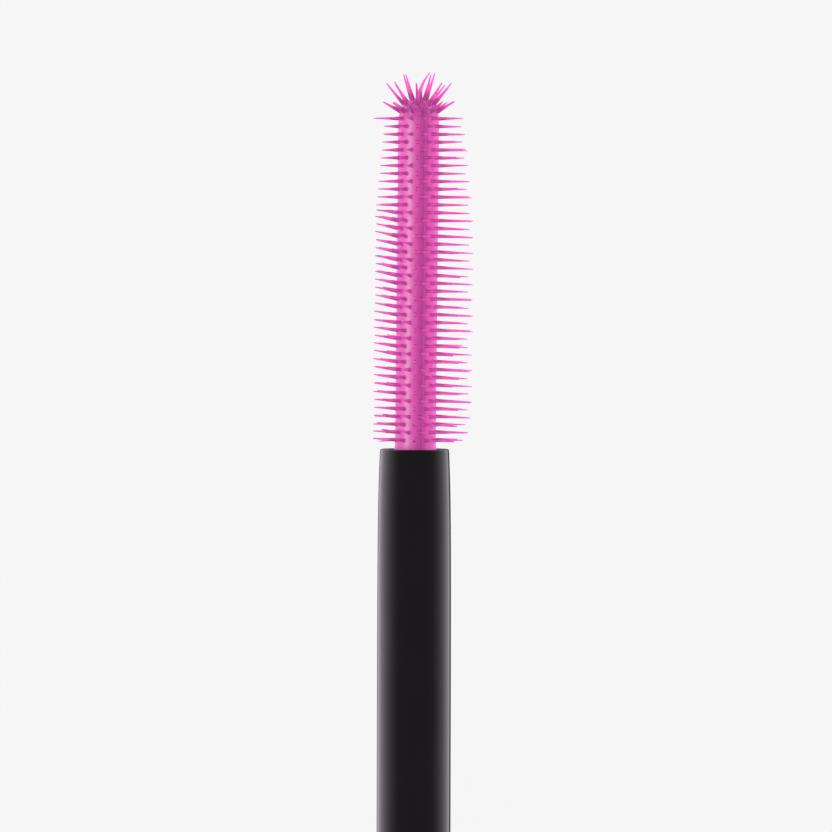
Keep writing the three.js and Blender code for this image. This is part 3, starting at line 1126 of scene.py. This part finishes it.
    def bristle(self, ring: int, place: int, distance: float) -> Hair:
        """One bristle of a ring.

        Args:
            ring: Ring number from the stem.
            place: Place round the core.
            distance: Distance up the outline.

        Returns:
            The bristle.
        """
        angle = self.angle_of(place)
        _, _, slope = self.station(distance)
        outward = Vector((math.sin(angle), 0, math.cos(angle)))
        side = Vector((math.cos(angle), 0, -math.sin(angle)))
        lean = self.lean(ring, angle)
        rise = UP_THE_TUBE * math.sin(lean + slope * 0.3)
        length = self.reach(ring, angle) - self.core + self.luck.gauss(0, 0.03)
        on_left = math.sin(angle) < 0
        curl = self.curl * (1 - self.upper_share(ring)) if on_left else self.curl
        stout = on_left and ring < self.rings - self.tip_rings
        droop = UP_THE_TUBE * (curl * math.sin(lean)) + side * self.luck.gauss(0, 0.012)
        return Hair(
            root=self.skin_point(angle, distance),
            out=(outward * math.cos(lean) + rise).normalized(),
            side=side,
            length=length,
            base=self.hair_base * (1 + self.luck.gauss(0, 0.03)),
            tip=self.hair_tip * (self.stout_tip if stout else 1.0),
            bend=droop,
        )

    # ---- the domed tip

    def dome_patches(self) -> None:
        """Rows of spikes over the dome, and the one at its top.

        A row gives its spikes' reach, and the start and width of its patches in half places.
        """
        top = self.dome_centre + self.core * math.pi / 2
        low = self.first_ring + (self.rings - 0.5) * self.pitch
        edges = [low + (top - low) * share for share in self.dome_edges]
        for row, (reach, start, width) in enumerate(self.dome_rows):
            low, high = edges[row], edges[row + 1]
            for first in range(start, start + 2 * self.places, width):
                hair = self.spike((first + width / 2) / 2, (low + high) / 2, reach)
                edge = self.patch_edge(first, width, self.rings + row, low, high)
                self.spike_patch(edge, hair, self.spike_foot)
        self.crown(edges[-1])

    def spike(self, place: float, distance: float, reach: float) -> Hair:
        """One spike of the dome, pointing away from the dome's centre.

        Args:
            place: Place round the core.
            distance: Distance up the outline.
            reach: Distance of its tip from the dome's centre.

        Returns:
            The spike.
        """
        angle = self.angle_of(place)
        _, _, slope = self.station(distance)
        if slope > 1 and abs(math.sin(angle)) < 0.3:
            reach *= self.front_share
        outward = Vector((math.sin(angle), 0, math.cos(angle)))
        side = Vector((math.cos(angle), 0, -math.sin(angle)))
        out = outward * math.cos(slope) + UP_THE_TUBE * math.sin(slope)
        swing = side * self.luck.gauss(0, 0.05) + UP_THE_TUBE * self.luck.gauss(0.03, 0.03)
        return Hair(
            root=self.skin_point(angle, distance),
            out=(out + side * self.luck.gauss(0, 0.03)).normalized(),
            side=side,
            length=reach - self.core + self.luck.gauss(0, 0.06),
            base=self.spike_base * (1 + self.luck.gauss(0, 0.05)),
            tip=self.spike_tip,
            bend=swing,
        )

    def crown(self, low: float) -> None:
        """The patch at the very top, with one stout curved spike.

        Args:
            low: Distance of its edge.
        """
        edge = [self.skin_vertex(h, 4 * (self.rings + 3), low) for h in range(2 * self.places)]
        top = self.dome_centre + self.core * math.pi / 2
        hair = Hair(
            root=self.skin_point(0.0, top),
            out=Vector((0.02, 1, 0.05)).normalized(),
            side=Vector((1, 0, 0)),
            length=self.crown_length,
            base=self.crown_base,
            tip=0.05,
            bend=Vector((0.36, -0.03, 0.0)),
        )
        self.spike_patch(edge, hair, self.crown_foot)

    # ---- the wall inside the stem, and the pin

    def root_wall(self) -> None:
        """The plain stretch that flares a little and goes into the stem, and the bore for the pin."""
        bottom = self.span("brush")[0] - self.stem_end
        low = self.first_ring - self.pitch / 2
        outline = [
            (self.core + 0.01, low * 0.55),
            (self.core + self.flare, 0.04),
            (self.socket, -0.1),
            (self.socket, bottom),
            (self.bore, bottom),
            (self.bore, self.dome_centre - 0.2),
            (self.bore * 0.6, self.dome_centre),
        ]
        before = [self.skin_vertex(h, 0, low) for h in range(2 * self.places)]
        for radius, distance in outline:
            loop = []
            for half in range(2 * self.places):
                spot = MeshShop.around(radius, self.angle_of(half / 2), self.stem_end + distance)
                seated = self.seat_offset if 0 < distance < low else 0.0
                loop.append(self.mesh.verts.new(spot + Vector((seated * MM, 0, 0))))
            MeshShop.bridge(self.mesh, loop, before)
            before = loop
        end = self.mesh.verts.new(MeshShop.around(0, 0, self.stem_end + self.dome_centre + 0.1))
        MeshShop.bridge(self.mesh, [end], before)

    def carrier_pin(self) -> None:
        """The rigid pin, with the barbs that hold it in the stem."""
        low, high = self.span("brush_pin")
        radius = self.pin_radius
        outline: list[Point] = [(0, low), (radius * 0.7, low), (radius, low + 0.4)]
        for barb in range(self.pin_barbs):
            place = low + 1.2 + barb * 1.4
            outline += [(radius, place), (radius - 0.1, place + 0.05), (radius, place + 0.5)]
        outline += [(radius, high - 0.5), *arc((0.24, high - 0.5), 0.5, 0, 90), (0, high)]
        self.turned("carrier_pin", "brush_pin", Slot.PALE_PLASTIC, outline, 48)


# ---- the stem


@dataclass
class Stem(Assembly):
    """The gloss black rod between cap and brush."""

    radius: float = 2.72
    end_radius: float = 2.535
    taper_length: float = 3.4
    taper_stations: tuple[float, ...] = (26, 17, 13, 10.5, 8.5, 7, 5.5, 4.2, 3.2, 2.2, 1.4, 0.7, 0.3)
    edge: float = 0.11
    socket: float = 1.6
    socket_depth: float = 1.55
    pin_bore: float = 0.84
    pin_depth: float = 9.1
    plug_radius: float = 3.0
    flange_radius: float = 3.75
    flange_depth: float = 15.2
    flange_thickness: float = 0.8

    def build(self) -> None:
        """Turn the rod with its soft taper and rounded end."""
        back, end = self.span("stem")
        flange = self.span("cap_shell")[1] - self.flange_depth
        front = flange + self.flange_thickness
        plug, rim = self.plug_radius, self.flange_radius - 0.15
        outline: list[Point] = [
            (0, back), (plug - 0.5, back), *arc((plug - 0.4, back + 0.4), 0.4, -90, 0, 3),
            (plug, flange - 1.4), (plug - 0.1, flange - 1.2), (plug - 0.1, flange - 0.8),
            (plug, flange - 0.6), (plug, flange),
            (rim + 0.05, flange), *arc((rim, flange + 0.15), 0.15, -90, 0, 2),
            *arc((rim, front - 0.15), 0.15, 0, 90, 2),
            (plug - 0.1, front), *arc((self.radius + 0.2, front + 0.2), 0.2, -90, -180, 3),
        ]
        outline += self.taper(front + 0.3, end)
        outline += [
            *arc((self.end_radius - self.edge, end - self.edge), self.edge, 0, 90, 8),
            *arc((self.socket + 0.05, end - 0.05), 0.05, 90, 180, 3),
            (self.socket, end - self.socket_depth), (self.pin_bore, end - self.socket_depth),
            (self.pin_bore, end - self.pin_depth), (0, end - self.pin_depth),
        ]
        self.turned("wand_stem", "stem", Slot.GLOSS_BLACK, outline, 192)

    def taper(self, start: float, end: float) -> list[Point]:
        """The visible length: straight, then easing in towards the brush end.

        Args:
            start: First place along Y.
            end: Place of the brush end.

        Returns:
            Profile points.
        """
        points = []
        for distance in (end - start, *self.taper_stations):
            ease = math.exp(-distance / self.taper_length)
            points.append((self.radius + (self.end_radius - self.radius) * ease, end - distance))
        return points


# ---- the cap and the seal


@dataclass
class Cap(Assembly):
    """The screw cap: shell, end disc, weight, threaded insert and captive washer."""

    outer: float = 8.5
    wall: float = 0.6
    inner: float = 7.75
    round: float = 0.5
    lip: float = 1.9
    disc_grooves: tuple[float, float] = (0.9, 1.55)
    button_radius: float = 2.2
    weight_bevel: float = 0.6
    bore: float = 6.5
    crest: float = 5.9
    thread_drop: float = 2.4
    insert_setback: float = 0.3
    back_wall: float = 0.85
    web: float = 1.6
    web_depth: float = 15.65
    stem_socket: float = 3.12
    socket_wall: float = 1.1
    socket_depth: float = 8.0
    washer_hole: float = 3.95
    washer_outer: float = 6.2

    def build(self) -> None:
        """Make all the cap's pieces."""
        self.end, self.mouth = self.span("cap_shell")
        self.shell()
        self.disc()
        self.weight()
        self.insert()
        self.washer()

    def shell(self) -> None:
        """The outer skin with soft edges at both ends."""
        lip = self.outer - self.lip
        bore = self.outer - self.wall
        outline = [
            (lip + 0.08, self.end),
            *arc((self.outer - self.round, self.end + self.round), self.round, -90, 0, 8),
            *arc((self.outer - 0.3, self.mouth - 0.3), 0.3, 0, 90, 5),
            *arc((bore + 0.1, self.mouth - 0.1), 0.1, 90, 180, 3),
            (bore, self.end + 0.8), (lip, self.end + 0.8), (lip, self.end + 0.08),
        ]
        self.turned("cap_skin", "cap_shell", Slot.GLOSS_BLACK, outline, 160)

    def disc(self) -> None:
        """The end disc: a shallow dish with a raised rim and a centre button of turned rings."""
        low, high = self.span("cap_end_disc")
        face = self.outer - self.lip - 0.15
        button, dish, step = low + 0.12, low + 0.2, low + 0.8
        outline: list[Point] = [(0, button)]
        for groove in self.disc_grooves:
            outline += [(groove - 0.06, button), (groove, low + 0.19), (groove + 0.06, button)]
        outline += [
            (self.button_radius, button), (self.button_radius + 0.08, dish),
            (face - 0.9, dish), (face - 0.75, low + 0.02), *arc((face - 0.1, low + 0.1), 0.1, -90, 0, 3),
            (face, step), (self.inner, step), (self.inner, high), (0, high),
        ]
        self.turned("end_disc", "cap_end_disc", Slot.PINK_METAL, outline, 160)

    def weight(self) -> None:
        """The steel slug with bevelled rims and a dimple in each face."""
        low, high = self.span("cap_weight")
        bevel = self.weight_bevel
        outline = [
            (0, low + bevel / 2), (bevel, low), (self.inner - bevel, low), (self.inner, low + bevel),
            (self.inner, high - bevel), (self.inner - bevel, high), (bevel, high), (0, high - bevel / 2),
        ]
        self.turned("weight_slug", "cap_weight", Slot.STEEL, outline, 96)

    def insert(self) -> None:
        """The inner cap with its inside thread and the stem's socket."""
        low, high = self.span("cap_insert")
        web = self.mouth - self.web_depth + self.insert_setback
        socket, socket_outer = self.stem_socket, self.stem_socket + self.socket_wall
        back_bore = self.inner - self.back_wall
        lead_in = self.bore + 0.35
        outline = [
            (back_bore, low), (self.inner, low), (self.inner, high - 0.1), (self.inner - 0.1, high),
            (lead_in, high), *arc((lead_in, high - 0.35), 0.35, 90, 180, 4),
            (self.bore, web + 0.15), (self.bore - 0.15, web), (socket, web),
            (socket, web - self.socket_depth), (socket_outer, web - self.socket_depth),
            (socket_outer, web - self.web), (back_bore, web - self.web),
        ]
        start = self.mouth + self.insert_setback - self.thread_drop - THREAD_LENGTH - THREAD_PITCH / 2
        ridge = ScrewRidge(self.bore, self.crest, start)
        self.turned("threaded_insert", "cap_insert", Slot.SATIN_BLACK, outline, ridge=ridge)

    def washer(self) -> None:
        """The captive washer, pressed a little hollow where the neck's rim meets it."""
        low, high = self.span("seal_washer")
        hole, rim = self.washer_hole, self.washer_outer
        outline = [
            (hole, low), (rim, low), (rim, high - 0.08), (rim - 0.1, high), (rim - 0.6, high),
            (rim - 0.75, high - 0.06), (rim - 1.5, high - 0.06), (rim - 1.65, high),
            (hole + 0.05, high), (hole, high - 0.08),
        ]
        self.turned("washer", "seal_washer", Slot.SEAL_FOAM, outline, 96, Body.SEAL)


# ---- the bottle


@dataclass
class Bottle(Assembly):
    """The bottle: sleeve, shoulder ring, vial with its neck, wiper, plug and label."""

    body: ClassVar[Body] = Body.BOTTLE
    outer: float = 8.5
    bore: float = 7.9
    inner: float = 7.75
    neck: float = 5.6
    neck_bore: float = 4.5
    neck_length: float = 14.0
    crest: float = 6.28
    thread_drop: float = 2.4
    bead: float = 0.25
    vial_outer: float = 7.7
    vial_inner: float = 6.9
    vial_wall: float = 1.1
    wiper_wall: float = 0.5
    wiper_hole: float = 2.9
    wiper_straight: float = 10.4
    label_seat: float = 5.35
    label_radius: float = 5.2

    def build(self) -> None:
        """Make all the bottle's pieces."""
        self.shoulder, _ = self.span("shoulder_ring")
        self.sleeve()
        self.ring()
        self.vial()
        self.wiper()
        self.plug()

    def sleeve(self) -> None:
        """The outer skin."""
        low, high = self.span("bottle_sleeve")
        edge = 0.12
        outline = [
            (self.bore, low), *arc((self.outer - edge, low + edge), edge, -90, 0, 4),
            *arc((self.outer - edge, high - edge), edge, 0, 90, 4), (self.bore, high),
        ]
        self.turned("bottle_skin", "bottle_sleeve", Slot.GLOSS_BLACK, outline, 160)

    def ring(self) -> None:
        """The bright ring, with a turned groove round its side."""
        low, high = self.span("shoulder_ring")
        hole, groove = self.neck + 0.15, self.outer - 0.12
        outline = [
            (hole, low), *arc((self.outer - 0.25, low + 0.25), 0.25, -90, 0, 5),
            (self.outer, low + 1.05), (groove, low + 1.15),
            (groove, low + 1.35), (self.outer, low + 1.45),
            (self.outer, high - 0.06), (self.outer - 0.06, high), (self.bore, high),
            (self.bore, low + 0.6), (hole, low + 0.6),
        ]
        self.turned("trim_ring", "shoulder_ring", Slot.PINK_METAL, outline, 160)

    def vial(self) -> None:
        """The vial, its neck with the screw ridge, and a transfer bead under the thread."""
        low, high = self.span("vial")
        rim, shoulder = self.shoulder, self.shoulder + 0.75
        outer, inside, floor = self.vial_outer, self.vial_inner, high - self.vial_wall
        bead = self.neck + self.bead
        outline = [
            (0, high), (outer - 0.8, high), (outer, high - 0.8), (outer, shoulder),
            (self.neck, shoulder), (self.neck, rim - 0.5), (bead, rim - 0.7),
            (bead, rim - 1.0), (self.neck, rim - 1.2),
            *arc((self.neck - 0.2, low + 0.2), 0.2, 0, -90, 4),
            *arc((self.neck_bore + 0.1, low + 0.1), 0.1, -90, -180, 3),
            (self.neck_bore, shoulder), (inside, shoulder + 2.6),
            *arc((inside - 1.6, floor - 1.6), 1.6, 0, 90, 6), (0, floor),
        ]
        ridge = ScrewRidge(self.neck, self.crest, rim - self.thread_drop - THREAD_LENGTH)
        self.turned("vial_with_neck", "vial", Slot.SATIN_BLACK, outline, ridge=ridge)

    def wiper(self) -> None:
        """The soft insert: flange, tube and cone."""
        low, lip = self.span("wiper")
        tube = self.neck_bore - 0.1
        cone = self.shoulder - self.neck_length + self.wiper_straight
        flange, hole, inside = self.neck - 0.25, self.wiper_hole, tube - self.wiper_wall
        outline = [
            (inside + 0.3, low), *arc((flange - 0.1, low + 0.1), 0.1, -90, 0, 3), (flange, low + 0.5),
            (tube, low + 0.5), (tube, cone), (hole + 0.35, lip), (hole, lip), (hole, lip - 0.5),
            (inside, cone - 0.4), (inside, low + 0.6),
        ]
        self.turned("wiper_insert", "wiper", Slot.PALE_PLASTIC, outline, 96)

    def plug(self) -> None:
        """The base plug and the blank label in its seat."""
        low, high = self.span("base_plug")
        seat = self.label_seat
        outline = [
            (0, low), (self.inner, low), (self.inner, high - 1), (self.outer, high - 1),
            *arc((self.outer - 0.5, high - 0.5), 0.5, 0, 90, 8), (seat + 0.05, high),
            (seat, high - 0.05), (seat, high - 0.5), (0, high - 0.5),
        ]
        self.turned("base_cap", "base_plug", Slot.GLOSS_BLACK, outline, 160)
        low, high = self.span("base_label")
        edge = self.label_radius
        outline = [(0, low), (edge, low), (edge, high - 0.05), (edge - 0.05, high), (0, high)]
        self.turned("shade_label", "base_label", Slot.LABEL, outline, 96)


# ---- the studio


def facing(back: Vector, rise: Vector | None = None) -> Matrix:
    """The turn of a light or camera whose picture has the tube's direction upward.

    Args:
        back: Direction from what it faces to itself.
        rise: Its own upward direction, if not square to the other two.

    Returns:
        A rotation.
    """
    away = back.normalized()
    across = UP_THE_TUBE.cross(away).normalized()
    return Matrix((across, rise or away.cross(across), away)).transposed().to_4x4()


@dataclass(frozen=True)
class StripLight:
    """A soft strip light beside the tube, facing its axis."""

    name: str
    across: float
    height: float
    width: float
    length: float
    power: float
    shadow: bool = False
    glossy: bool = True

    def hang(self, along: float, receivers: Sequence[Piece]) -> None:
        """Put the light in the scene.

        Args:
            along: Its place along Y.
            receivers: The only pieces that it lights.
        """
        data = bpy.data.lights.new(self.name, "AREA")
        data.shape = "RECTANGLE"
        data.size, data.size_y = self.width * MM, self.length * MM
        data.energy = self.power
        data.use_shadow = self.shadow
        light = bpy.data.objects.new(self.name, data)
        bpy.context.scene.collection.objects.link(light)
        centre = Vector((self.across, along, self.height)) * MM
        back = centre - Vector((0, along, AXIS_HEIGHT)) * MM
        light.matrix_world = Matrix.Translation(centre) @ facing(back, UP_THE_TUBE)
        light.visible_glossy = self.glossy
        group = bpy.data.collections.new(f"lit_by_{self.name}")
        for piece in receivers:
            group.objects.link(piece)
        light.light_linking.receiver_collection = group


@dataclass
class Studio:
    """Pale floor, soft surround, strip lights and the camera."""

    frame_width: float = 61.2
    distance: float = 530.0
    ahead_of_centre: float = 14.0
    centre_above_stem_end: float = 2.43
    centre_offset: float = 0.10
    roll: float = math.radians(0.15)
    floor_size: float = 3.0
    floor_glow: float = 0.90
    surround: float = 1.65
    lights_above_stem_end: float = 12.0
    key: StripLight = StripLight("key", -222, 199, 120, 100, 0.76)
    fill: StripLight = StripLight("fill", 260, 90, 90, 120, 0.9, glossy=False)
    tube_strip: StripLight = StripLight("tube_strip", -160, 230, 50, 320, 2.2, shadow=True)

    def build(self, brush: Sequence[Piece], others: Sequence[Piece]) -> None:
        """Set up floor, surround, lights and camera.

        Args:
            brush: The pieces that the key light falls on.
            others: The pieces that the tube light falls on.
        """
        self.stem_end = Assembly.span("stem")[1]
        bpy.context.scene.view_settings.view_transform = "Standard"
        self.floor()
        self.world()
        self.camera()
        self.key.hang(self.stem_end + self.lights_above_stem_end, brush)
        self.fill.hang(self.stem_end + self.lights_above_stem_end, brush)
        self.tube_strip.hang(0, others)

    def floor(self) -> None:
        """The plain pale floor, which glows a little so that it stays even."""
        mesh = bmesh.new()
        bmesh.ops.create_grid(mesh, x_segments=1, y_segments=1, size=self.floor_size)
        floor = MeshShop.finish("floor", mesh)
        floor.location.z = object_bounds()[0][2] - 0.0001
        material = bpy.data.materials.new("pale_floor")
        material.use_nodes = True
        graph = Graph(material.node_tree)
        glow = graph.node("ShaderNodeEmission", None, {0: (1, 1, 1, 1), 1: self.floor_glow})
        matt = graph.node("ShaderNodeBsdfDiffuse", None, {0: (0.1, 0.1, 0.1, 1)})
        both = graph.node("ShaderNodeAddShader", None, {0: glow.outputs[0], 1: matt.outputs[0]})
        graph.surface(both.outputs[0])
        material.cycles.emission_sampling = "NONE"
        floor.data.materials.append(material)
        floor.visible_glossy = False
        floor.visible_shadow = False
        floor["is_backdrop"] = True

    def world(self) -> None:
        """The surround: dark above, white low down all round, like a tent on a light table."""
        world = bpy.data.worlds.new("surround")
        bpy.context.scene.world = world
        world.use_nodes = True
        graph = Graph(world.node_tree)
        direction = graph.node("ShaderNodeTexCoord").outputs["Generated"]
        split = graph.node("ShaderNodeSeparateXYZ", None, {0: direction})
        across, up = Term(graph, split.outputs[0]), Term(graph, split.outputs[2])
        tint = (1.0, 0.92, 1.02)
        levels = (
            (0.16, 1.0), (0.305, 0.85), (0.44, 0.59),
            (0.56, 0.38), (0.67, 0.22), (0.757, 0.13), (0.83, 0.115),
        )
        stops = [(place, tuple(level * t for t in tint)) for place, level in levels]
        height = up * 0.5 + 0.5
        ramp = graph.node("ShaderNodeValToRGB", {"stops": stops}, {0: height + 0.03 * across})
        above_table = (height - 0.045 * across).fade(0.04, 0.075)
        strength = self.surround * (0.06 + 0.94 * above_table)
        background = graph.node("ShaderNodeBackground", None, {0: ramp.outputs[0], 1: strength})
        output = graph.node("ShaderNodeOutputWorld")
        graph.tree.links.new(background.outputs[0], output.inputs[0])

    def camera(self) -> None:
        """The camera above the brush, looking slightly back down the wand."""
        data = bpy.data.cameras.new("camera")
        camera = bpy.data.objects.new("camera", data)
        bpy.context.scene.collection.objects.link(camera)
        target = Vector((self.centre_offset, self.stem_end + self.centre_above_stem_end, AXIS_HEIGHT))
        eye = target + Vector((0, self.ahead_of_centre, self.distance))
        turn = facing(eye - target) @ Matrix.Rotation(self.roll, 4, "Z")
        camera.matrix_world = Matrix.Translation(eye * MM) @ turn
        data.sensor_width = 36.0
        data.lens = data.sensor_width * (eye - target).length / self.frame_width
        data.clip_start, data.clip_end = 0.01, 20.0
        bpy.context.scene.camera = camera


# ---- main


def main() -> None:
    """Load the frame and build the brush, the stem, the cap, the bottle and the studio."""
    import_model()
    wardrobe = Wardrobe()
    brush, stem, cap, bottle = (kind(wardrobe) for kind in (Brush, Stem, Cap, Bottle))
    for part in (brush, stem, cap, bottle):
        part.build()
        LOG.info("%s done: %d pieces", type(part).__name__, len(part.pieces))
    Studio().build(brush.pieces, cap.pieces + bottle.pieces)


if __name__ == "__main__":
    logging.basicConfig(level=logging.INFO, format="%(name)s: %(message)s")
    main()
